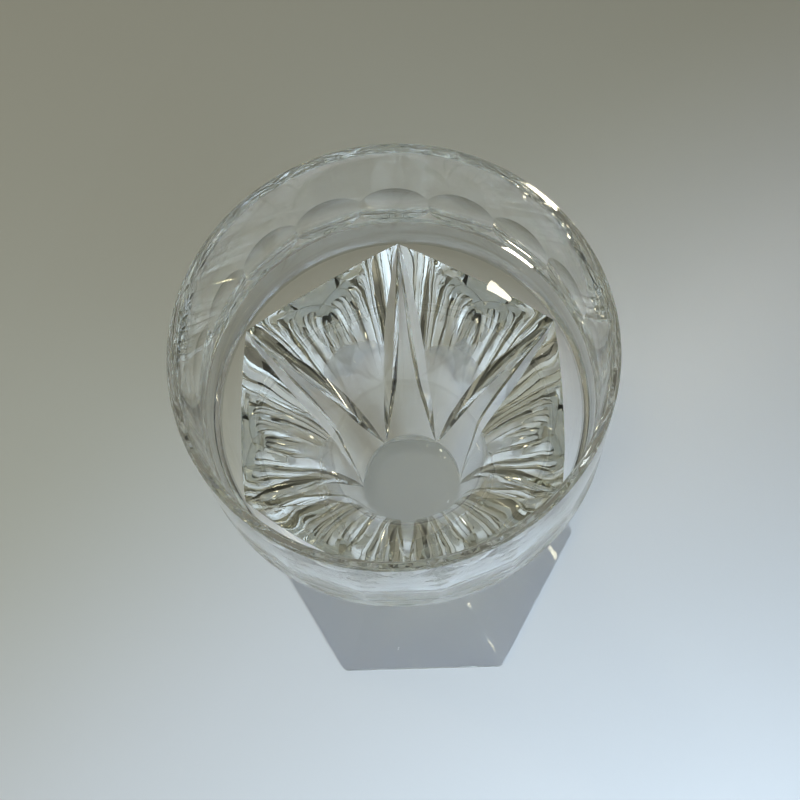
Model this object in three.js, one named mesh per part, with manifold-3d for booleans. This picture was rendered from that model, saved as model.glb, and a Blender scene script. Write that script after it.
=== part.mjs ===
// A footed cut crystal vase: a blown bowl with a cut star body, bonded to a solid six-sided foot.
// Millimetres, +Z up. The origin is the centre of the flat underside that the vase stands on.
import * as THREE from "three";
import { mergeVertices } from "three/addons/utils/BufferGeometryUtils.js";
import Module from "manifold-3d";

// ---- driving dimensions ----
const HEIGHT = 252; // table to rim
const RIM_RADIUS = 70; // outside of the straight band under the rim
const LIP_THICKNESS = 3.2; // width of the polished lip
const LIP_BEVEL = 0.6; // small bevels on both edges of the lip
const BAND_BOTTOM_Z = 197; // lower end of the straight band
const RINGS = 2; // polished bevel rings under the band
const LEDGE_WIDTH = 0.8; // fine ledge at the lower end of each ring
const LEDGE_HEIGHT = 0.4;
const STAR_TOP_Z = 187; // level of the six star tips
const STAR_RADIUS = 65; // across-corner radius of the six-sided body at the tips
const STAR_OVERLAP = 0.5; // how far the star runs up into the round part, so that the two join
const WAIST_Z = 88; // joint between bowl and foot
const WAIST_RADIUS = 28; // across-corner radius of both pieces at the joint
const SIDES = 6; // sides of the star body, the waist and the foot

const FLOOR_Z = 94; // the level floor inside
const FLOOR_RADIUS = 14.3; // size of that level floor
const HEEL_ROUND = 8.8; // radius of the curved heel between floor and wall
const HEEL_LOW = (12 * Math.PI) / 180; // slope where the heel leaves the floor
const HEEL_HIGH = (52 * Math.PI) / 180; // slope where it runs into the wall
const INSIDE_WALL = [
  [21.2, 112],
  [24.8, 130],
  [29.3, 150],
  [37.5, 168],
  [50, 184],
  [59.5, 192],
  [65, 200],
  [66.3, 212],
]; // radius and height of the blown inside, from above the heel to the straight mouth
const HEEL_STEPS = 6; // facets around the heel
const WALL_STEPS = 22; // facets up the wall
const MOUTH_CLEARANCE = 2; // how far the cutting solid stands above the rim

const OVAL_COUNT = 18; // hollow ovals around the band
const OVAL_Z = 211.5; // level of their middles
const OVAL_WHEEL = 61.5; // radius of the wheel that hollows them
const OVAL_DEPTH = 1.27; // depth at the middle of each hollow
const WHEEL_SEGMENTS = 96; // facets around that wheel
const WHEEL_OVERHANG = 1.1; // the wheel is a little wider than the oval it leaves

const LEAF_HALF_WIDTH = 4.6; // leaf-shaped mitre cuts along the star's edges
const LEAF_DEPTH = 3.6;
const LEAF_STATIONS = 10; // sections along each leaf

const FOOT_RADIUS = 70; // across-corner radius on the table
const FOOT_EDGE = 3; // height of the upright edge around the foot
const FLARE_LOW = [48, 33]; // radius and height of the points that pull the flare inwards
const FLARE_HIGH = [30, 56];
const FLARE_STEPS = 14; // facets up the flare
const BOND_THICKNESS = 0.4; // cured clear adhesive between bowl and foot
const BOND_INSET = 0.5; // how far the adhesive stays in from the waist's edge
const FIT_GAP = 0.3; // clearance left between touching pieces

const ROUND_SEGMENTS = 72; // facets around every turned surface
const TIP_TURN = Math.PI / 2; // direction of the first star tip, seen from above
const SIDE_TURN = TIP_TURN + Math.PI / SIDES; // direction of the first waist corner
const MERGE_DISTANCE = 1e-4; // points closer than this are one point

const wasm = await Module();
wasm.setup();

// ---- helpers ----
function toSolid(geometry) {
  const bare = geometry.clone();
  bare.deleteAttribute("normal");
  bare.deleteAttribute("uv");
  const merged = mergeVertices(bare, MERGE_DISTANCE);
  const vertProperties = new Float32Array(merged.attributes.position.array);
  const triVerts = new Uint32Array(merged.index.array);
  return new wasm.Manifold(new wasm.Mesh({ numProp: 3, vertProperties, triVerts }));
}

function toGeometry(solid) {
  const mesh = solid.getMesh();
  const geometry = new THREE.BufferGeometry();
  geometry.setAttribute("position", new THREE.BufferAttribute(mesh.vertProperties, 3));
  geometry.setIndex(new THREE.BufferAttribute(mesh.triVerts, 1));
  geometry.computeVertexNormals();
  return geometry;
}

// A turned solid from [radius, z] points that start and end on the axis and run up the outside.
function turned(outline) {
  const points = outline.map(([radius, z]) => new THREE.Vector2(radius, z));
  return new THREE.LatheGeometry(points, ROUND_SEGMENTS).rotateX(Math.PI / 2);
}

function corner(radius, turn, z) {
  return new THREE.Vector3(radius * Math.cos(turn), radius * Math.sin(turn), z);
}

// A closed skin over rings of equally many points, each ring going anticlockwise seen from above.
function skinned(rings) {
  const count = rings[0].length;
  const positions = [];
  const face = (...points) => points.forEach((point) => positions.push(point.x, point.y, point.z));
  const middle = (ring) =>
    ring.reduce((sum, point) => sum.add(point), new THREE.Vector3()).divideScalar(count);
  const bottom = middle(rings[0]);
  const top = middle(rings.at(-1));
  for (let i = 0; i < count; i += 1) {
    const next = (i + 1) % count;
    face(bottom, rings[0][next], rings[0][i]);
    face(top, rings.at(-1)[i], rings.at(-1)[next]);
    for (let row = 0; row + 1 < rings.length; row += 1) {
      const [low, high] = [rings[row], rings[row + 1]];
      face(low[i], low[next], high[next]);
      face(low[i], high[next], high[i]);
    }
  }
  const geometry = new THREE.BufferGeometry();
  geometry.setAttribute("position", new THREE.Float32BufferAttribute(positions, 3));
  return mergeVertices(geometry, MERGE_DISTANCE);
}

function hexagon(radius, z) {
  return Array.from({ length: SIDES }, (_, i) => corner(radius, SIDE_TURN + (i * 2 * Math.PI) / SIDES, z));
}

// ---- bowl ----
// The round upper part: the bevel rings, each above a fine ledge, the straight band and the lip.
function upperBody() {
  const outline = [[0, STAR_TOP_Z]];
  const ringHeight = (BAND_BOTTOM_Z - STAR_TOP_Z) / RINGS;
  const ringWidth = (RIM_RADIUS - STAR_RADIUS) / RINGS;
  for (let ring = 0; ring < RINGS; ring += 1) {
    const radius = STAR_RADIUS + ring * ringWidth;
    const z = STAR_TOP_Z + ring * ringHeight;
    outline.push([radius, z], [radius + LEDGE_WIDTH, z + LEDGE_HEIGHT]);
  }
  outline.push([RIM_RADIUS, BAND_BOTTOM_Z], [RIM_RADIUS, HEIGHT - LIP_BEVEL]);
  outline.push([RIM_RADIUS - LIP_BEVEL, HEIGHT], [0, HEIGHT]);
  return toSolid(turned(outline));
}

// The six-sided star body: tall triangles standing on the waist with their points at the tips,
// and hanging triangles between them.
function starBody() {
  const positions = [];
  const face = (...points) => points.forEach((point) => positions.push(point.x, point.y, point.z));
  const lean = (STAR_RADIUS - WAIST_RADIUS) / (STAR_TOP_Z - WAIST_Z);
  const riseRadius = STAR_RADIUS + lean * STAR_OVERLAP;
  const riseZ = STAR_TOP_Z + STAR_OVERLAP;
  const floorZ = WAIST_Z + BOND_THICKNESS / 2 + FIT_GAP;
  const turnAt = (start, i) => start + (i * 2 * Math.PI) / SIDES;
  const tip = (i) => corner(STAR_RADIUS, turnAt(TIP_TURN, i), STAR_TOP_Z);
  const rise = (i) => corner(riseRadius, turnAt(TIP_TURN, i), riseZ);
  const foot = (i) => corner(WAIST_RADIUS, turnAt(SIDE_TURN, i), floorZ);
  const top = new THREE.Vector3(0, 0, riseZ);
  const bottom = new THREE.Vector3(0, 0, floorZ);
  for (let i = 0; i < SIDES; i += 1) {
    face(foot(i - 1), foot(i), tip(i));
    face(foot(i), tip(i + 1), tip(i));
    face(tip(i), tip(i + 1), rise(i + 1));
    face(tip(i), rise(i + 1), rise(i));
    face(top, rise(i), rise(i + 1));
    face(bottom, foot(i), foot(i - 1));
  }
  const geometry = new THREE.BufferGeometry();
  geometry.setAttribute("position", new THREE.Float32BufferAttribute(positions, 3));
  return toSolid(geometry);
}

// The smooth blown inside: a level floor with a curved heel, a narrow well, a wide shoulder behind the rings and the mouth.
function cavity() {
  const mouth = RIM_RADIUS - LIP_THICKNESS;
  const heel = Array.from({ length: HEEL_STEPS + 1 }, (_, i) => {
    const slope = HEEL_LOW + ((HEEL_HIGH - HEEL_LOW) * i) / HEEL_STEPS;
    return new THREE.Vector2(
      FLOOR_RADIUS + HEEL_ROUND * (Math.sin(slope) - Math.sin(HEEL_LOW)),
      FLOOR_Z + HEEL_ROUND * (Math.cos(HEEL_LOW) - Math.cos(slope)),
    );
  });
  const wall = new THREE.SplineCurve([
    heel[HEEL_STEPS],
    ...INSIDE_WALL.map(([radius, z]) => new THREE.Vector2(radius, z)),
    new THREE.Vector2(mouth, HEIGHT - LIP_BEVEL),
  ]);
  const curves = [new THREE.Vector2(0, FLOOR_Z), ...heel, ...wall.getPoints(WALL_STEPS).slice(1)];
  const outline = curves.map((point) => [point.x, point.y]);
  outline.push([mouth + LIP_BEVEL, HEIGHT], [mouth + LIP_BEVEL, HEIGHT + MOUTH_CLEARANCE]);
  outline.push([0, HEIGHT + MOUTH_CLEARANCE]);
  return toSolid(turned(outline));
}

// One wheel that hollows an oval in the band; its axle lies level, along the band.
function ovalWheel(index) {
  const thickness = 2 * RIM_RADIUS * Math.tan(Math.PI / OVAL_COUNT) * WHEEL_OVERHANG;
  const wheel = new THREE.CylinderGeometry(OVAL_WHEEL, OVAL_WHEEL, thickness, WHEEL_SEGMENTS);
  wheel.translate(RIM_RADIUS - OVAL_DEPTH + OVAL_WHEEL, 0, OVAL_Z);
  wheel.rotateZ(TIP_TURN + (index * 2 * Math.PI) / OVAL_COUNT);
  return toSolid(wheel);
}

// A slender diamond-section spindle that cuts a leaf-shaped mitre along a straight edge.
function mitreCutter(from, to, outward) {
  const along = new THREE.Vector3().subVectors(to, from);
  const across = new THREE.Vector3().crossVectors(along, outward).normalize();
  const up = new THREE.Vector3().crossVectors(across, along).normalize();
  const rings = [];
  for (let i = 1; i < LEAF_STATIONS; i += 1) {
    const swell = Math.sin((Math.PI * i) / LEAF_STATIONS);
    const centre = from.clone().addScaledVector(along, i / LEAF_STATIONS);
    const offset = (direction, size) => centre.clone().addScaledVector(direction, size * swell);
    rings.push([
      offset(across, LEAF_HALF_WIDTH),
      offset(up, -LEAF_DEPTH),
      offset(across, -LEAF_HALF_WIDTH),
      offset(up, LEAF_DEPTH),
    ]);
  }
  return toSolid(skinned(rings));
}

function mitreCutters() {
  const cutters = [];
  for (let i = 0; i < SIDES; i += 1) {
    const tipTurn = TIP_TURN + (i * 2 * Math.PI) / SIDES;
    const tip = corner(STAR_RADIUS, tipTurn, STAR_TOP_Z);
    for (const side of [-1, 1]) {
      const footTurn = tipTurn + (side * Math.PI) / SIDES;
      const foot = corner(WAIST_RADIUS, footTurn, WAIST_Z);
      cutters.push(mitreCutter(foot, tip, corner(1, (tipTurn + footTurn) / 2, 0)));
    }
  }
  return cutters;
}

function bowlGeometry() {
  let bowl = upperBody().add(starBody()).subtract(cavity());
  for (let i = 0; i < OVAL_COUNT; i += 1) bowl = bowl.subtract(ovalWheel(i));
  for (const cutter of mitreCutters()) bowl = bowl.subtract(cutter);
  return toGeometry(bowl);
}

// ---- foot ----
function footGeometry() {
  const flare = new THREE.CubicBezierCurve3(
    new THREE.Vector3(FOOT_RADIUS, 0, FOOT_EDGE),
    new THREE.Vector3(FLARE_LOW[0], 0, FLARE_LOW[1]),
    new THREE.Vector3(FLARE_HIGH[0], 0, FLARE_HIGH[1]),
    new THREE.Vector3(WAIST_RADIUS, 0, WAIST_Z - BOND_THICKNESS / 2 - FIT_GAP),
  );
  const rings = [hexagon(FOOT_RADIUS, 0)];
  flare.getPoints(FLARE_STEPS).forEach((point) => rings.push(hexagon(point.x, point.z)));
  return skinned(rings);
}

// ---- clear adhesive between the two ----
function bondGeometry() {
  const radius = WAIST_RADIUS - BOND_INSET;
  const half = BOND_THICKNESS / 2;
  return skinned([hexagon(radius, WAIST_Z - half), hexagon(radius, WAIST_Z + half)]);
}

// ---- assembly ----
function crystal() {
  return new THREE.MeshStandardMaterial({ color: 0xe9ece4, roughness: 0.03, metalness: 0 });
}

function adhesive() {
  return new THREE.MeshStandardMaterial({ color: 0xf2f2ec, roughness: 0.1, metalness: 0 });
}

function piece(name, geometry, material) {
  const mesh = new THREE.Mesh(geometry, material);
  mesh.name = name;
  return mesh;
}

const vase = new THREE.Group();
vase.add(piece("bowl", bowlGeometry(), crystal()));
vase.add(piece("foot", footGeometry(), crystal()));
vase.add(piece("waist_bond", bondGeometry(), adhesive()));

export default vase;
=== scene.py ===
"""Looks for a footed cut crystal vase, laid out as an add-on: a cut bowl, a solid foot and their bond."""
import math

import bmesh
import bpy
from bpy.props import FloatProperty, FloatVectorProperty, IntProperty, PointerProperty
from bpy.types import Operator, Panel, PropertyGroup
from mathutils import Matrix, Vector, noise


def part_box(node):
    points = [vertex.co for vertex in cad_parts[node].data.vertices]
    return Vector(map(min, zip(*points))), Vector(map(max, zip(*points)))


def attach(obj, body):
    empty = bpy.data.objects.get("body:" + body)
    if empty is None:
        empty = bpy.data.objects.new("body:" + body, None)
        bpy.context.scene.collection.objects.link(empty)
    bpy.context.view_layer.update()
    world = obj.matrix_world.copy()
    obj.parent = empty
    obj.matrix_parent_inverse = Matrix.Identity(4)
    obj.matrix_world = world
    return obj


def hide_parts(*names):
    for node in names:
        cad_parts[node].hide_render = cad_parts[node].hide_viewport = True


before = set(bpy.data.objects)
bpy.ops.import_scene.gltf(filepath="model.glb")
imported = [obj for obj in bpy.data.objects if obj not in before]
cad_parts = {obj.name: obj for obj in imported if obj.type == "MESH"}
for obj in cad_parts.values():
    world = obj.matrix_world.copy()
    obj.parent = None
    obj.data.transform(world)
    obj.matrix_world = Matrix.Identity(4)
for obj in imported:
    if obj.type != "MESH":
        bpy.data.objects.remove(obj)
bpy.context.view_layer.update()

bl_info = {
    "name": "Cut Crystal Vase",
    "version": (1, 0, 0),
    "blender": (4, 5, 0),
    "location": "View3D > Sidebar > Vase",
    "description": "Builds a footed cut crystal vase around its CAD frame",
    "category": "Object",
}

BODY = "root"
BOWL_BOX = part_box("bowl")
FOOT_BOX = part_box("foot")
BOND_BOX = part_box("waist_bond")
RIM_Z = BOWL_BOX[1][2]
RIM_RADIUS = BOWL_BOX[1][0]
FOOT_RADIUS = FOOT_BOX[1][0]
WAIST_Z = (BOND_BOX[0][2] + BOND_BOX[1][2]) / 2
SIDES = 6
TIP_TURN = math.pi / 2
SIDE_TURN = TIP_TURN + math.pi / SIDES
ROUND_SEGMENTS = 360

# The blown inside: radius and height of the wall, from just above the heel to the straight band.
INSIDE_WALL = (
    (0.0212, 0.112), (0.0248, 0.130), (0.0293, 0.150), (0.0375, 0.168), (0.0500, 0.184),
    (0.0595, 0.192), (0.0650, 0.200), (0.0663, 0.212),
)
# Neighbouring solids run this far into each other, because cured adhesive leaves no air between them.
WETTED = 0.00005

# Steps along each curved stretch.
LIP_STEPS = 10
HEEL_STEPS = 12
WALL_STEPS = 14
LEAF_STATIONS = 40
WHEEL_SEGMENTS = 240
FLARE_STEPS = 60
BULGE_STEPS = 8

# Faces that meet at more degrees than this keep a crisp edge.
BOWL_CRISP = 5.0
FOOT_CRISP = 12.0
FILM_CRISP = 30.0

STAR_OVERLAP = 0.0005  # the star runs this far up into the turned part above it
WHEEL_OVERHANG = 1.1  # the wheel is a little wider than the oval it leaves
UNSTREAKED = 0.001  # the floor's very middle, left as it is

# The foot's flare: radius and height of its two guiding points.
FLARE_LOW = (0.048, 0.033)
FLARE_HIGH = (0.030, 0.056)

# Streaks of the blown inside.
STREAK_RISE = 34.0  # how fast they change with height, per metre
FINE_TIMES = 2.3  # finer ones among them, this many times as close
FINE_RISE = 50.0
FINE_START = 7.0
FINE_SHARE = 0.25
BAND_CALM = 0.12  # what is left of them in the polished band
CALM_RISE = 0.004  # they fade towards this far above the band's lower end
CALM_RUN = 0.014  # over this length

# Finish: noise per metre, the noise values between which a mark sets in, and the depth of what bump shows.
SMEAR_DETAIL = 4.0
SMEAR_BAND = (0.52, 0.78)
DUST_BAND = (0.80, 0.86)
RIPPLE_WIDE = 70.0
RIPPLE_FINE = 420.0
RIPPLE_SHARE = 0.8
RIPPLE_STRENGTH = 0.35
FLOW_SCALE = 180.0
FLOW_ROUGH = 0.02
FLOW_STRENGTH = 0.2
FLOW_DEPTH = 0.00003
GRAIN_SCALE = 900.0
GRAIN_DETAIL = 3.0
GRAIN_STRENGTH = 0.08
GRAIN_DEPTH = 0.0002
PAPER_ROUGH = 0.9

# Where the shade painted on the wheel cuts sits, measured in from the rim's radius, and how soft its edges
# are.
PAINTED_SHADE_DEEPEST = 0.0025  # deeper than any oval, but short of the inside
PAINTED_SHADE_SHALLOWEST = 0.00007  # just under the uncut outside
DEEP_EDGE = 0.0002
SHALLOW_EDGE = 0.00005
TOP_EDGE = 0.001
RING_EDGE = 0.0003

FLOOR_HALF = 3.0
FLOOR_GAP = 0.0002
HORIZON_AT = 0.1
OVERHEAD_AT = 0.75
GLASS_BOUNCES = 32
MIRROR_BOUNCES = 16


# ---------------------------------------------------------------- settings
class VaseBowlSettings(PropertyGroup):
    """Sizes of the bowl's outside cuts and of its blown inside."""

    lip: FloatProperty(
        name="Lip", description="Width of the polished lip", default=0.0032, unit="LENGTH")
    lip_round: FloatProperty(
        name="Lip rounding", description="Rounding of the lip's edges", default=0.0011, unit="LENGTH")
    band_bottom: FloatProperty(
        name="Band bottom", description="Height of the band's lower end", default=0.197, unit="LENGTH")
    star_top: FloatProperty(
        name="Star top", description="Height of the star's tips", default=0.187, unit="LENGTH")
    star_radius: FloatProperty(
        name="Star radius", description="Across-corner radius at the tips", default=0.065, unit="LENGTH")
    waist_radius: FloatProperty(
        name="Waist radius", description="Across-corner radius at the waist", default=0.028, unit="LENGTH")
    rings: IntProperty(name="Rings", description="Bevel rings under the band", default=2, min=1)
    ledge_width: FloatProperty(
        name="Ledge width", description="Width of the fine ledge under each ring", default=0.0008,
        unit="LENGTH")
    ledge_height: FloatProperty(
        name="Ledge height", description="Height of that ledge", default=0.0004, unit="LENGTH")
    oval_count: IntProperty(name="Ovals", description="Hollow ovals around the band", default=18, min=3)
    oval_z: FloatProperty(
        name="Oval height", description="Height of the ovals' middles", default=0.2115, unit="LENGTH")
    oval_wheel: FloatProperty(
        name="Oval wheel", description="Radius of the wheel that hollows them", default=0.0615, unit="LENGTH")
    oval_depth: FloatProperty(
        name="Oval depth", description="Depth of each hollow", default=0.00127, unit="LENGTH")
    leaf_half: FloatProperty(
        name="Leaf half width", description="Half width of the mitre tool", default=0.0046, unit="LENGTH")
    leaf_depth: FloatProperty(
        name="Leaf depth", description="Depth of the mitre leaves", default=0.0036, unit="LENGTH")
    floor_z: FloatProperty(
        name="Floor", description="Height of the level floor inside", default=0.094, unit="LENGTH")
    floor_radius: FloatProperty(
        name="Floor radius", description="Radius of the level floor inside", default=0.0143, unit="LENGTH")
    heel_round: FloatProperty(
        name="Heel rounding", description="Radius of the curved heel between floor and wall", default=0.0088,
        unit="LENGTH")
    heel_low: FloatProperty(
        name="Heel low", description="How steep the heel is at the floor", default=math.radians(12),
        subtype="ANGLE")
    heel_high: FloatProperty(
        name="Heel high", description="How steep the heel is at the wall", default=math.radians(52),
        subtype="ANGLE")
    streak_depth: FloatProperty(
        name="Streak depth", description="Depth of the long streaks in the blown inside", default=0.00026,
        unit="LENGTH")
    streak_count: FloatProperty(
        name="Streaks", description="How closely the streaks follow each other round the inside", default=2.4)


class VaseFootSettings(PropertyGroup):
    """Sizes of the foot's flare and edges."""

    edge: FloatProperty(
        name="Edge", description="Height of the upright edge", default=0.003, unit="LENGTH")
    chamfer: FloatProperty(
        name="Chamfer", description="Fine bevel around the underside", default=0.0005, unit="LENGTH")
    ridge: FloatProperty(
        name="Ridge", description="Width of the polished ridges", default=0.0016, unit="LENGTH")
    bond_inset: FloatProperty(
        name="Bond inset", description="How far the adhesive stays in from the waist's edge", default=0.0005,
        unit="LENGTH")


class VaseLookSettings(PropertyGroup):
    """Finish of the crystal, and the shade painted on the bowl's cuts."""

    tint: FloatVectorProperty(
        name="Tint", description="Colour that thick crystal takes", subtype="COLOR", size=3,
        default=(0.95, 0.955, 0.84), min=0.0, max=1.0)
    density: FloatProperty(name="Density", description="Strength of the tint per metre", default=6.0)
    refraction: FloatProperty(
        name="Refraction", description="Refractive index of the crystal", default=1.55)
    clearness: FloatVectorProperty(
        name="Clearness", description="Share of lamplight that each of the bowl's surfaces lets through",
        subtype="COLOR", size=3, default=(0.92, 0.92, 0.92), min=0.0, max=1.0)
    foot_clearness: FloatVectorProperty(
        name="Foot clearness", description="The same for the foot, whose slopes turn more of it aside",
        subtype="COLOR", size=3, default=(0.42, 0.47, 0.56), min=0.0, max=1.0)
    adhesive: FloatProperty(
        name="Adhesive", description="Refractive index of the adhesive", default=1.5)
    smears: FloatProperty(
        name="Smears", description="How close wiping smears lie, per metre", default=55.0)
    smear_rough: FloatProperty(
        name="Smear roughness", description="How rough a smear is", default=0.012)
    dust: FloatProperty(name="Dust", description="How close dust specks lie, per metre", default=2600.0)
    dust_rough: FloatProperty(name="Dust roughness", description="How rough a speck is", default=0.10)
    ripple: FloatProperty(
        name="Ripple", description="Depth of the polish's slight ripple", default=0.00006, unit="LENGTH")
    # Painted shade: strength of the dark colour painted on the upper half of each oval.
    oval_painted_shade: FloatProperty(
        name="Oval haze", description="Haze at the upper edge of each oval", default=0.95, min=0.0, max=1.0)
    # Painted shade: strength of the dark colour painted on the rings' slopes.
    ring_painted_shade: FloatProperty(
        name="Ring haze", description="Haze on the slopes of the rings", default=0.6, min=0.0, max=1.0)
    # Colour of the painted shade at full strength.
    painted_shade: FloatVectorProperty(
        name="Haze", description="Colour that full haze takes", subtype="COLOR", size=3,
        default=(0.12, 0.12, 0.08), min=0.0, max=1.0)


class VaseStageSettings(PropertyGroup):
    """Where the camera stands, the tones of the room and of the floor, and the shade painted on the floor
    behind.
    """

    back: FloatProperty(
        name="Back", description="Camera's distance from the axis, in rim radii", default=2.3843)
    above: FloatProperty(
        name="Above", description="Camera's height over the rim, in rim radii", default=6.368)
    turn: FloatProperty(
        name="Turn", description="How far the camera stands to the right of -Y", default=0.115,
        subtype="ANGLE")
    down: FloatProperty(
        name="Down", description="How far the camera looks down", default=1.247, subtype="ANGLE")
    roll: FloatProperty(name="Roll", description="Camera's tilt", default=-0.1437, subtype="ANGLE")
    lens: FloatProperty(name="Lens", description="Focal length in millimetres", default=69.75)
    room: FloatProperty(name="Room", description="Brightness of the room", default=0.20)
    horizon: FloatVectorProperty(
        name="Horizon", description="Colour of the room at eye level", subtype="COLOR", size=3,
        default=(0.10, 0.10, 0.085), min=0.0, max=1.0)
    overhead: FloatVectorProperty(
        name="Overhead", description="Colour of the room overhead", subtype="COLOR", size=3,
        default=(1.0, 0.99, 0.84), min=0.0, max=1.0)
    paper_near: FloatVectorProperty(
        name="Near floor", description="Colour of the floor in front", subtype="COLOR", size=3,
        default=(0.75, 0.76, 0.77), min=0.0, max=1.0)
    # Paper colour with painted shade, for the floor behind the vase.
    far_paper_painted_shade: FloatVectorProperty(
        name="Far floor", description="Colour of the floor behind", subtype="COLOR", size=3,
        default=(0.62, 0.62, 0.55), min=0.0, max=1.0)
    # Where the painted shade on the floor starts and ends, and how far it leans back towards the right.
    shade_fade_start: FloatProperty(
        name="Fade start", description="Where the floor starts to change behind the axis", default=-0.02,
        unit="LENGTH")
    shade_fade_end: FloatProperty(
        name="Fade end", description="Where that change ends", default=0.18, unit="LENGTH")
    shade_fade_lean: FloatProperty(
        name="Fade lean", description="How far the change runs back towards the right", default=0.7)


# ---------------------------------------------------------------- mesh helpers
def new_object(name, vertices, faces):
    mesh = bpy.data.meshes.new(name)
    mesh.from_pydata(vertices, [], faces)
    mesh.validate()
    piece = bpy.data.objects.new(name, mesh)
    bpy.context.scene.collection.objects.link(piece)
    return piece


def corner(radius, turn, z):
    return Vector((radius * math.cos(turn), radius * math.sin(turn), z))


def outward(piece):
    """Turns a closed piece's faces to point out."""
    work = bmesh.new()
    work.from_mesh(piece.data)
    bmesh.ops.recalc_face_normals(work, faces=work.faces)
    work.to_mesh(piece.data)
    work.free()
    return piece


def turned(name, outline):
    """A turned solid; the outline starts and ends on the axis."""
    ring_points = outline[1:-1]
    vertices = [Vector((0.0, 0.0, outline[0][1]))]
    for radius, z in ring_points:
        vertices += [corner(radius, 2 * math.pi * i / ROUND_SEGMENTS, z) for i in range(ROUND_SEGMENTS)]
    vertices.append(Vector((0.0, 0.0, outline[-1][1])))
    last = len(vertices) - 1
    top = 1 + (len(ring_points) - 1) * ROUND_SEGMENTS
    faces = []
    for i in range(ROUND_SEGMENTS):
        j = (i + 1) % ROUND_SEGMENTS
        faces.append((0, 1 + j, 1 + i))
        for row in range(len(ring_points) - 1):
            low, high = 1 + row * ROUND_SEGMENTS, 1 + (row + 1) * ROUND_SEGMENTS
            faces.append((low + i, low + j, high + j, high + i))
        faces.append((top + i, top + j, last))
    return outward(new_object(name, vertices, faces))


def skinned(name, rings):
    """A closed skin over rings of equally many points."""
    count = len(rings[0])
    vertices = [point for ring in rings for point in ring]
    faces = [tuple(reversed(range(count)))]
    for row in range(len(rings) - 1):
        low, high = row * count, (row + 1) * count
        for i in range(count):
            j = (i + 1) % count
            faces.append((low + i, low + j, high + j, high + i))
    faces.append(tuple(range((len(rings) - 1) * count, len(rings) * count)))
    return outward(new_object(name, vertices, faces))


def cut(piece, tool, operation="DIFFERENCE"):
    """Joins or cuts piece with tool, which is used up."""
    modifier = piece.modifiers.new("cut", "BOOLEAN")
    modifier.operation = operation
    modifier.solver = "MANIFOLD"
    modifier.object = tool
    graph = bpy.context.evaluated_depsgraph_get()
    made = bpy.data.meshes.new_from_object(piece.evaluated_get(graph))
    piece.modifiers.clear()
    piece.data = made
    bpy.data.objects.remove(tool)


def bezier(points, steps):
    """Points along a cubic curve."""
    a, b, c, d = (Vector(point) for point in points)
    result = []
    for i in range(steps + 1):
        t = i / steps
        s = 1 - t
        result.append(tuple(a * s ** 3 + b * (3 * t * s * s) + c * (3 * t * t * s) + d * t ** 3))
    return result


def spline(points, steps):
    """Points along a smooth curve through the given ones."""
    padded = [Vector(point) for point in (points[0], *points, points[-1])]
    result = []
    for k in range(len(points) - 1):
        a, b, c, d = padded[k:k + 4]
        for i in range(steps):
            t = i / steps
            result.append(tuple(
                0.5 * (2 * b + (c - a) * t + (2 * a - 5 * b + 4 * c - d) * t * t
                       + (3 * b - a - 3 * c + d) * t ** 3)))
    result.append(tuple(points[-1]))
    return result


def finish_shading(piece, degrees):
    """Shades smoothly, but keeps every edge sharper than the angle crisp."""
    for polygon in piece.data.polygons:
        polygon.use_smooth = True
    piece.data.set_sharp_from_angle(angle=math.radians(degrees))


def dress(piece, material, node):
    piece.data.materials.clear()
    piece.data.materials.append(material)
    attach(piece, BODY)
    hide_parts(node)


# ---------------------------------------------------------------- materials
class Maths:
    """Wraps a value socket so that arithmetic on it adds Math nodes."""

    def __init__(self, shader, socket):
        self.shader = shader
        self.socket = socket

    def _with(self, operation, first, second):
        plain = [value.socket if isinstance(value, Maths) else value for value in (first, second)]
        node = self.shader.add("ShaderNodeMath", {"operation": operation}, {0: plain[0], 1: plain[1]})
        return Maths(self.shader, node.outputs[0])

    def __add__(self, other):
        return self._with("ADD", self, other)

    def __radd__(self, other):
        return self._with("ADD", other, self)

    def __mul__(self, other):
        return self._with("MULTIPLY", self, other)

    def __rmul__(self, other):
        return self._with("MULTIPLY", other, self)

    def __sub__(self, other):
        return self._with("SUBTRACT", self, other)

    def __rsub__(self, other):
        return self._with("SUBTRACT", other, self)


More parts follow.
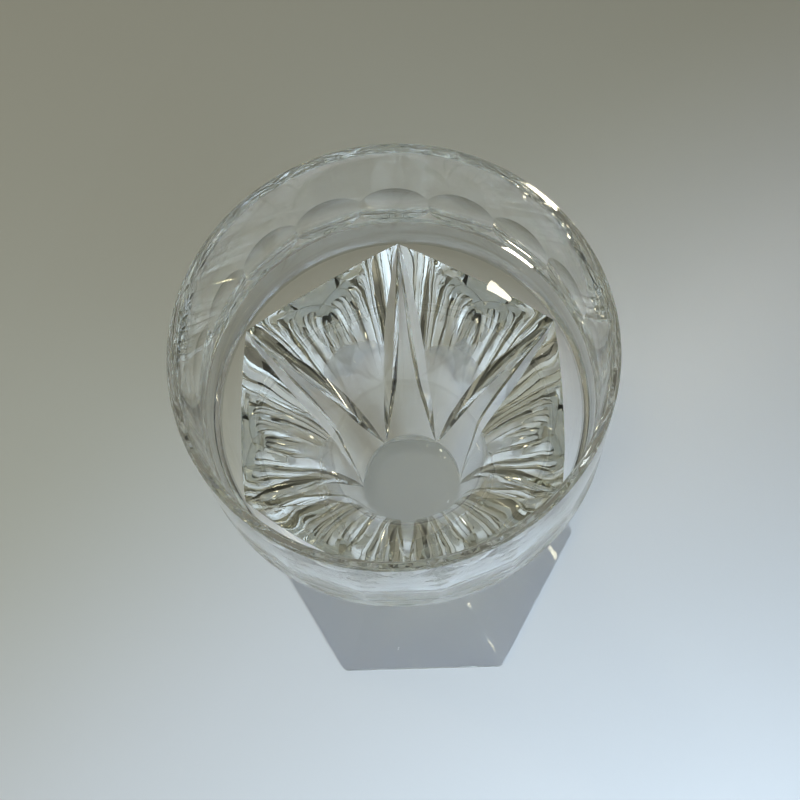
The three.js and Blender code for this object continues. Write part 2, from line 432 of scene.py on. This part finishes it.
class Shader:
    """A new node material with one Principled shader."""

    def __init__(self, name):
        self.material = bpy.data.materials.new(name)
        self.material.use_nodes = True
        self.tree = self.material.node_tree
        self.principled = self.tree.nodes["Principled BSDF"]
        self.output = self.tree.nodes["Material Output"]

    def add(self, kind, settings, sockets):
        node = self.tree.nodes.new(kind)
        for name, value in settings.items():
            setattr(node, name, value)
        for key, value in sockets.items():
            self.feed(node.inputs[key], value)
        return node

    def feed(self, target, value):
        if isinstance(value, Maths):
            value = value.socket
        if isinstance(value, bpy.types.NodeSocket):
            self.tree.links.new(value, target)
        else:
            target.default_value = value

    def set(self, **values):
        for name, value in values.items():
            self.feed(self.principled.inputs[name.replace("_", " ")], value)

    def place(self):
        return self.add("ShaderNodeTexCoord", {}, {}).outputs["Object"]

    def noise(self, scale, detail=2.0):
        node = self.add(
            "ShaderNodeTexNoise", {}, {"Vector": self.place(), "Scale": scale, "Detail": detail})
        return Maths(self, node.outputs[0])

    def band(self, value, low, high):
        """0 below low, 1 above high, with a straight run between."""
        node = self.add(
            "ShaderNodeMapRange", {"clamp": True}, {"Value": value, "From Min": low, "From Max": high})
        return Maths(self, node.outputs[0])


    def beyond(self, squared, radius, run):
        """0 within the radius, 1 from a short run further out; squared is the square of the distance."""
        return self.band(squared, radius ** 2, (radius + run) ** 2)

    def axes(self):
        """The three coordinates of the place."""
        split = self.add("ShaderNodeSeparateXYZ", {}, {"Vector": self.place()})
        return [Maths(self, split.outputs[axis]) for axis in "XYZ"]

    def blend(self, factor, first, second):
        node = self.add("ShaderNodeMix", {"data_type": "RGBA"}, {
            "Factor": factor, "A": (*first, 1), "B": (*second, 1)})
        return node.outputs["Result"]

    def bump(self, strength, distance, height):
        node = self.add(
            "ShaderNodeBump", {}, {"Strength": strength, "Distance": distance, "Height": height})
        return node.outputs[0]

    def pass_light(self, clearness):
        """Lets lamps shine through to whatever stands behind, dimmed at every surface."""
        path = self.add("ShaderNodeLightPath", {}, {})
        clear = self.add("ShaderNodeBsdfTransparent", {}, {"Color": (*clearness, 1)})
        mix = self.add("ShaderNodeMixShader", {}, {
            0: path.outputs["Is Shadow Ray"], 1: self.principled.outputs[0], 2: clear.outputs[0]})
        self.tree.links.new(mix.outputs[0], self.output.inputs["Surface"])


def painted_wheel_shade(shader, look, bowl):
    """Painted shade: how strongly dark colour is painted on the upper half of every oval and on the rings'
    slopes, where the crystal shows darker views.
    """
    x, y, z = shader.axes()
    squared = x * x + y * y
    deep = shader.beyond(squared, RIM_RADIUS - PAINTED_SHADE_DEEPEST, DEEP_EDGE)
    hollow = deep * (1 - shader.beyond(squared, RIM_RADIUS - PAINTED_SHADE_SHALLOWEST, SHALLOW_EDGE))
    oval_top = bowl.oval_z + math.sqrt(2 * bowl.oval_wheel * bowl.oval_depth)
    upper = shader.band(z, bowl.oval_z, oval_top) * (1 - shader.band(z, oval_top, oval_top + TOP_EDGE))
    below_band = 1 - shader.band(z, bowl.band_bottom - RING_EDGE, bowl.band_bottom)
    slope = shader.beyond(squared, bowl.star_radius - RING_EDGE, RING_EDGE) * below_band
    return hollow * upper * look.oval_painted_shade + slope * look.ring_painted_shade


def crystal(name, look, clearness, bowl=None):
    """Clear, faintly tinted crystal; the bowl's also has shade painted into its colour on the ovals and the
    rings.
    """
    shader = Shader(name)
    clear = (1, 1, 1)
    # The bowl's colour is blended towards the painted shade colour over the ovals' upper halves and the
    # rings' slopes.
    colour = shader.blend(painted_wheel_shade(shader, look, bowl), clear, look.painted_shade) if bowl else (*clear, 1)
    smears = shader.band(shader.noise(look.smears, SMEAR_DETAIL), *SMEAR_BAND)
    dust = shader.band(shader.noise(look.dust, 0.0), *DUST_BAND)
    ripple = shader.noise(RIPPLE_WIDE) * RIPPLE_SHARE + shader.noise(RIPPLE_FINE) * (1 - RIPPLE_SHARE)
    shader.set(Base_Color=colour, IOR=look.refraction, Transmission_Weight=1.0,
               Roughness=smears * look.smear_rough + dust * look.dust_rough,
               Normal=shader.bump(RIPPLE_STRENGTH, look.ripple, ripple))
    volume = shader.add(
        "ShaderNodeVolumeAbsorption", {}, {"Color": (*look.tint, 1.0), "Density": look.density})
    shader.tree.links.new(volume.outputs[0], shader.output.inputs["Volume"])
    shader.pass_light(clearness)
    return shader.material


def adhesive(look):
    """Clear cured adhesive with the faint marks of its flow."""
    shader = Shader("clear_adhesive")
    flow = shader.noise(FLOW_SCALE)
    shader.set(Base_Color=(1, 1, 1, 1), IOR=look.adhesive, Transmission_Weight=1.0,
               Roughness=flow * FLOW_ROUGH, Normal=shader.bump(FLOW_STRENGTH, FLOW_DEPTH, flow))
    shader.pass_light(look.clearness)
    return shader.material


def pale_floor_painted_shade(stage):
    """Matt paper with painted shade: it is painted a little darker and warmer behind the vase, where the
    floor lies in shadow.
    """
    shader = Shader("pale_floor_painted_shade")
    across, away, _ = shader.axes()
    # The painted shade: the floor's colour turns to the darker, warmer far colour behind the vase.
    fade = shader.add("ShaderNodeMapRange", {"interpolation_type": "SMOOTHSTEP"}, {
        "Value": away - across * stage.shade_fade_lean,
        "From Min": stage.shade_fade_start, "From Max": stage.shade_fade_end})
    paper_with_painted_shade = shader.blend(fade.outputs[0], stage.paper_near, stage.far_paper_painted_shade)
    grain = shader.noise(GRAIN_SCALE, GRAIN_DETAIL)
    shader.set(Base_Color=paper_with_painted_shade, Roughness=PAPER_ROUGH,
               Normal=shader.bump(GRAIN_STRENGTH, GRAIN_DEPTH, grain))
    return shader.material


# ---------------------------------------------------------------- bowl
def bowl_blank(bowl):
    """The turned outside above the star: the bevel rings, the straight band and the rounded lip."""
    rise = (bowl.band_bottom - bowl.star_top) / bowl.rings
    run = (RIM_RADIUS - bowl.star_radius) / bowl.rings
    outline = [(0.0, bowl.star_top)]
    for step in range(bowl.rings):
        radius, z = bowl.star_radius + step * run, bowl.star_top + step * rise
        outline += [(radius, z), (radius + bowl.ledge_width, z + bowl.ledge_height)]
    outline.append((RIM_RADIUS, bowl.band_bottom))
    soft = bowl.lip_round
    for i in range(LIP_STEPS + 1):
        t = math.pi / 2 * i / LIP_STEPS
        outline.append((RIM_RADIUS - soft + soft * math.cos(t), RIM_Z - soft + soft * math.sin(t)))
    outline.append((0.0, RIM_Z))
    return turned("bowl_cut", outline)


def star_body(bowl):
    """The star: six upright rays and six hanging panels between the tips' hexagon and the waist's."""
    lean = (bowl.star_radius - bowl.waist_radius) / (bowl.star_top - WAIST_Z)
    vertices, faces = [], []
    for i in range(SIDES):
        spread = 2 * math.pi * i / SIDES
        vertices += [
            corner(bowl.waist_radius, SIDE_TURN + spread, WAIST_Z),
            corner(bowl.star_radius, TIP_TURN + spread, bowl.star_top),
            corner(bowl.star_radius + lean * STAR_OVERLAP, TIP_TURN + spread, bowl.star_top + STAR_OVERLAP),
        ]
    for i in range(SIDES):
        foot, tip, rise = 3 * i, 3 * i + 1, 3 * i + 2
        before = 3 * ((i - 1) % SIDES)
        after = 3 * ((i + 1) % SIDES)
        faces += [(before, foot, tip), (foot, after + 1, tip), (tip, after + 1, after + 2, rise)]
    faces.append([3 * i for i in reversed(range(SIDES))])
    faces.append([3 * i + 2 for i in range(SIDES)])
    return outward(new_object("star", vertices, faces))


def streaks(bowl, place):
    """How far the blown inside stands in or out at a place."""
    turn = math.atan2(place.y, place.x)
    around = Vector((math.cos(turn), math.sin(turn), 0.0)) * bowl.streak_count
    long_streaks = noise.noise(around + Vector((0, 0, place.z * STREAK_RISE)))
    fine_streaks = noise.noise(around * FINE_TIMES + Vector((FINE_START, 0, place.z * FINE_RISE)))
    below = (bowl.band_bottom + CALM_RISE - place.z) / CALM_RUN
    calm = min(1.0, max(BAND_CALM, below))
    return bowl.streak_depth * calm * (long_streaks + FINE_SHARE * fine_streaks)


def cavity(bowl):
    """The inside, as a solid to cut away: level floor, heel, flowing wall, straight band, rounded lip."""
    mouth = RIM_RADIUS - bowl.lip
    soft = bowl.lip_round
    outline = [(0.0, bowl.floor_z)]
    for i in range(HEEL_STEPS + 1):
        t = bowl.heel_low + (bowl.heel_high - bowl.heel_low) * i / HEEL_STEPS
        outline.append((bowl.floor_radius + bowl.heel_round * (math.sin(t) - math.sin(bowl.heel_low)),
                        bowl.floor_z + bowl.heel_round * (math.cos(bowl.heel_low) - math.cos(t))))
    outline += spline([outline[-1], *INSIDE_WALL, (mouth, RIM_Z - soft)], WALL_STEPS)[1:]
    for i in range(1, LIP_STEPS + 1):
        t = math.pi / 2 * i / LIP_STEPS
        outline.append((mouth + soft * (1 - math.cos(t)), RIM_Z - soft + soft * math.sin(t)))
    outline += [(mouth + soft, RIM_Z + soft), (0.0, RIM_Z + soft)]
    tool = turned("cavity", outline)
    for vertex in tool.data.vertices:
        place = vertex.co
        radius = math.hypot(place.x, place.y)
        if radius > UNSTREAKED and place.z < RIM_Z - 2 * soft:
            change = 1 + streaks(bowl, place) * min(1.0, radius / bowl.floor_radius) / radius
            vertex.co = Vector((place.x * change, place.y * change, place.z))
    return tool


def oval_wheel(bowl, index):
    """A grinding wheel, axle level, that hollows one oval in the band."""
    half = RIM_RADIUS * math.tan(math.pi / bowl.oval_count) * WHEEL_OVERHANG
    centre = RIM_RADIUS - bowl.oval_depth + bowl.oval_wheel
    turn = TIP_TURN + 2 * math.pi * index / bowl.oval_count
    out, along = corner(1, turn, 0), corner(1, turn + math.pi / 2, 0)
    rings = []
    for side in (-half, half):
        ring = []
        for i in range(WHEEL_SEGMENTS):
            angle = 2 * math.pi * i / WHEEL_SEGMENTS
            reach = centre + bowl.oval_wheel * math.cos(angle)
            lift = bowl.oval_z + bowl.oval_wheel * math.sin(angle)
            ring.append(out * reach + along * side + Vector((0, 0, lift)))
        rings.append(ring)
    return skinned("wheel", rings)


def mitre_leaf(bowl, start, end, away):
    """A pointed spindle of diamond section that cuts one leaf along an edge of the star."""
    along = end - start
    across = along.cross(away).normalized()
    up = across.cross(along).normalized()
    vertices, faces = [start.copy()], []
    for i in range(1, LEAF_STATIONS):
        swell = math.sin(math.pi * i / LEAF_STATIONS)
        centre = start + along * (i / LEAF_STATIONS)
        wide, deep = bowl.leaf_half * swell, bowl.leaf_depth * swell
        vertices += [centre + across * wide, centre - up * deep,
                     centre - across * wide, centre + up * deep]
    vertices.append(end.copy())
    last = len(vertices) - 1
    for i in range(4):
        j = (i + 1) % 4
        faces.append((0, 1 + j, 1 + i))
        for row in range(LEAF_STATIONS - 2):
            low, high = 1 + 4 * row, 5 + 4 * row
            faces.append((low + i, low + j, high + j, high + i))
        faces.append((last - 4 + i, last - 4 + j, last))
    return outward(new_object("leaf", vertices, faces))


class VASE_OT_bowl(Operator):
    """Builds the cut bowl."""

    bl_idname = "vase.bowl"
    bl_label = "Cut bowl"

    def execute(self, context):
        bowl, look = context.scene.vase_bowl, context.scene.vase_look
        piece = bowl_blank(bowl)
        cut(piece, star_body(bowl), "UNION")
        for index in range(bowl.oval_count):
            cut(piece, oval_wheel(bowl, index))
        for i in range(SIDES):
            tip_turn = TIP_TURN + 2 * math.pi * i / SIDES
            tip = corner(bowl.star_radius, tip_turn, bowl.star_top)
            for side in (-1, 1):
                waist_turn = tip_turn + side * math.pi / SIDES
                waist = corner(bowl.waist_radius, waist_turn, WAIST_Z)
                cut(piece, mitre_leaf(bowl, waist, tip, corner(1, (tip_turn + waist_turn) / 2, 0)))
        cut(piece, cavity(bowl))
        finish_shading(piece, BOWL_CRISP)
        dress(piece, crystal("cut_crystal", look, look.clearness, bowl), "bowl")
        return {"FINISHED"}


# ---------------------------------------------------------------- foot and bond
def hexagon(radius, z, ridge):
    """Six flats with narrow polished ridges between them."""
    half = ridge / 2
    blunt = radius * math.cos(math.pi / SIDES) / math.cos(math.pi / SIDES - half / radius)
    points = []
    for i in range(SIDES):
        turn = SIDE_TURN + 2 * math.pi * i / SIDES
        points += [corner(blunt, turn - half / radius, z), corner(blunt, turn + half / radius, z)]
    return points


class VASE_OT_foot(Operator):
    """Builds the solid six-sided foot."""

    bl_idname = "vase.foot"
    bl_label = "Flared foot"

    def execute(self, context):
        foot, look = context.scene.vase_foot, context.scene.vase_look
        waist = context.scene.vase_bowl.waist_radius
        top = BOND_BOX[0][2] + WETTED
        rings = [hexagon(FOOT_RADIUS - foot.chamfer, 0.0, foot.ridge),
                 hexagon(FOOT_RADIUS, foot.chamfer, foot.ridge)]
        flare = bezier([(FOOT_RADIUS, foot.edge), FLARE_LOW, FLARE_HIGH, (waist, top)], FLARE_STEPS)
        rings += [hexagon(radius, z, foot.ridge) for radius, z in flare]
        piece = skinned("foot_flared", rings)
        finish_shading(piece, FOOT_CRISP)
        dress(piece, crystal("foot_crystal", look, look.foot_clearness), "foot")
        return {"FINISHED"}


class VASE_OT_bond(Operator):
    """Builds the thin film of clear adhesive between foot and bowl."""

    bl_idname = "vase.bond"
    bl_label = "Waist bond"

    def execute(self, context):
        radius = context.scene.vase_bowl.waist_radius - context.scene.vase_foot.bond_inset
        ridge = context.scene.vase_foot.ridge
        low, high = BOND_BOX[0][2], WAIST_Z + WETTED
        bulge = (high - low) / 2
        rings = []
        for i in range(BULGE_STEPS + 1):
            turn = math.pi * (i / BULGE_STEPS - 0.5)
            swell = radius - bulge * (1 - math.cos(turn))
            rings.append(hexagon(swell, low + bulge + bulge * math.sin(turn), ridge))
        piece = skinned("waist_film", rings)
        finish_shading(piece, FILM_CRISP)
        dress(piece, adhesive(context.scene.vase_look), "waist_bond")
        return {"FINISHED"}


# ---------------------------------------------------------------- stage
def softbox(name, place, target, size, energy, colour, spread=180, seen=True):
    """A rectangular soft light that faces target; a small spread in degrees is a softbox with a grid.

    One that isn't seen lights the floor without showing as a patch in the crystal.
    """
    data = bpy.data.lights.new(name, "AREA")
    data.shape = "RECTANGLE"
    data.size, data.size_y = size
    data.energy = energy
    data.color = colour
    data.spread = math.radians(spread)
    light = bpy.data.objects.new(name, data)
    light.visible_glossy = seen
    light.visible_transmission = seen
    light.location = place
    light.rotation_euler = (Vector(target) - Vector(place)).to_track_quat("-Z", "Y").to_euler()
    bpy.context.scene.collection.objects.link(light)


def soft_room(stage):
    """A room that is dim at the horizon and brighter overhead."""
    world = bpy.data.worlds.new("soft_room")
    world.use_nodes = True
    nodes, links = world.node_tree.nodes, world.node_tree.links
    place = nodes.new("ShaderNodeTexCoord")
    split = nodes.new("ShaderNodeSeparateXYZ")
    ramp = nodes.new("ShaderNodeValToRGB")
    tones = ((HORIZON_AT, stage.horizon), (OVERHEAD_AT, stage.overhead))
    for element, (height, tone) in zip(ramp.color_ramp.elements, tones):
        element.position = height
        element.color = (*tone, 1.0)
    links.new(place.outputs["Generated"], split.inputs[0])
    links.new(split.outputs["Z"], ramp.inputs[0])
    links.new(ramp.outputs["Color"], nodes["Background"].inputs["Color"])
    nodes["Background"].inputs["Strength"].default_value = stage.room
    return world


def camera_at(context, stage):
    """Stands the camera above and in front of the vase, looking down into it."""
    data = bpy.data.cameras.new("view")
    data.lens = stage.lens
    camera = bpy.data.objects.new("view", data)
    azimuth = -math.pi / 2 + stage.turn
    camera.location = corner(stage.back * RIM_RADIUS, azimuth, RIM_Z + stage.above * RIM_RADIUS)
    forward = -corner(math.cos(stage.down), azimuth, math.sin(stage.down))
    right = Vector((-math.sin(azimuth), math.cos(azimuth), 0.0))
    up = right.cross(forward)
    tilted_right = right * math.cos(stage.roll) + up * math.sin(stage.roll)
    tilted_up = up * math.cos(stage.roll) - right * math.sin(stage.roll)
    camera.rotation_euler = Matrix((tilted_right, tilted_up, -forward)).transposed().to_euler()
    context.scene.collection.objects.link(camera)
    context.scene.camera = camera


class VASE_OT_stage(Operator):
    """Builds the floor, the soft lights and the camera."""

    bl_idname = "vase.stage"
    bl_label = "Stage"

    def execute(self, context):
        stage = context.scene.vase_stage
        corners = [(side_x * FLOOR_HALF, side_y * FLOOR_HALF, -FLOOR_GAP)
                   for side_x, side_y in ((-1, -1), (1, -1), (1, 1), (-1, 1))]
        floor = new_object("floor", corners, [(0, 1, 2, 3)])
        floor.data.materials.append(pale_floor_painted_shade(stage))
        context.scene.world = soft_room(stage)
        softbox("warm_lamp", place=(-0.85, -0.55, 1.05), target=(0, 0, 0.1), size=(0.25, 0.25),
                energy=4.4, colour=(1.0, 0.92, 0.70))
        softbox("cool_window", place=(0.50, -0.80, 0.80), target=(0.15, -0.38, 0), size=(0.5, 0.4),
                energy=2.0, colour=(0.63, 0.80, 1.0), spread=46, seen=False)
        softbox("sparkle", place=(-0.9, 0.9, 0.9), target=(0, 0, 0.15), size=(0.10, 0.10),
                energy=1.6, colour=(0.9, 0.95, 1.0))
        camera_at(context, stage)
        context.scene.cycles.max_bounces = GLASS_BOUNCES
        context.scene.cycles.transmission_bounces = GLASS_BOUNCES
        context.scene.cycles.glossy_bounces = MIRROR_BOUNCES
        context.scene.view_settings.view_transform = "Standard"
        return {"FINISHED"}


class VASE_PT_panel(Panel):
    """Lists the vase's pieces."""

    bl_label = "Vase"
    bl_space_type = "VIEW_3D"
    bl_region_type = "UI"
    bl_category = "Vase"

    def draw(self, context):
        for operator in OPERATORS:
            self.layout.operator(operator.bl_idname)


OPERATORS = (VASE_OT_stage, VASE_OT_bowl, VASE_OT_foot, VASE_OT_bond)
SETTINGS = (VaseBowlSettings, VaseFootSettings, VaseLookSettings, VaseStageSettings)


def register():
    for entry in (*SETTINGS, *OPERATORS, VASE_PT_panel):
        bpy.utils.register_class(entry)
    bpy.types.Scene.vase_bowl = PointerProperty(type=VaseBowlSettings)
    bpy.types.Scene.vase_foot = PointerProperty(type=VaseFootSettings)
    bpy.types.Scene.vase_look = PointerProperty(type=VaseLookSettings)
    bpy.types.Scene.vase_stage = PointerProperty(type=VaseStageSettings)


def unregister():
    del bpy.types.Scene.vase_stage, bpy.types.Scene.vase_look
    del bpy.types.Scene.vase_foot, bpy.types.Scene.vase_bowl
    for entry in (VASE_PT_panel, *reversed(OPERATORS), *reversed(SETTINGS)):
        bpy.utils.unregister_class(entry)


def plain(bounds):
    return [[float(value) for value in point] for point in bounds]


def main():
    register()
    bpy.ops.vase.stage()
    bpy.ops.vase.bowl()
    bpy.ops.vase.foot()
    bpy.ops.vase.bond()


if __name__ == "__main__":
    main()
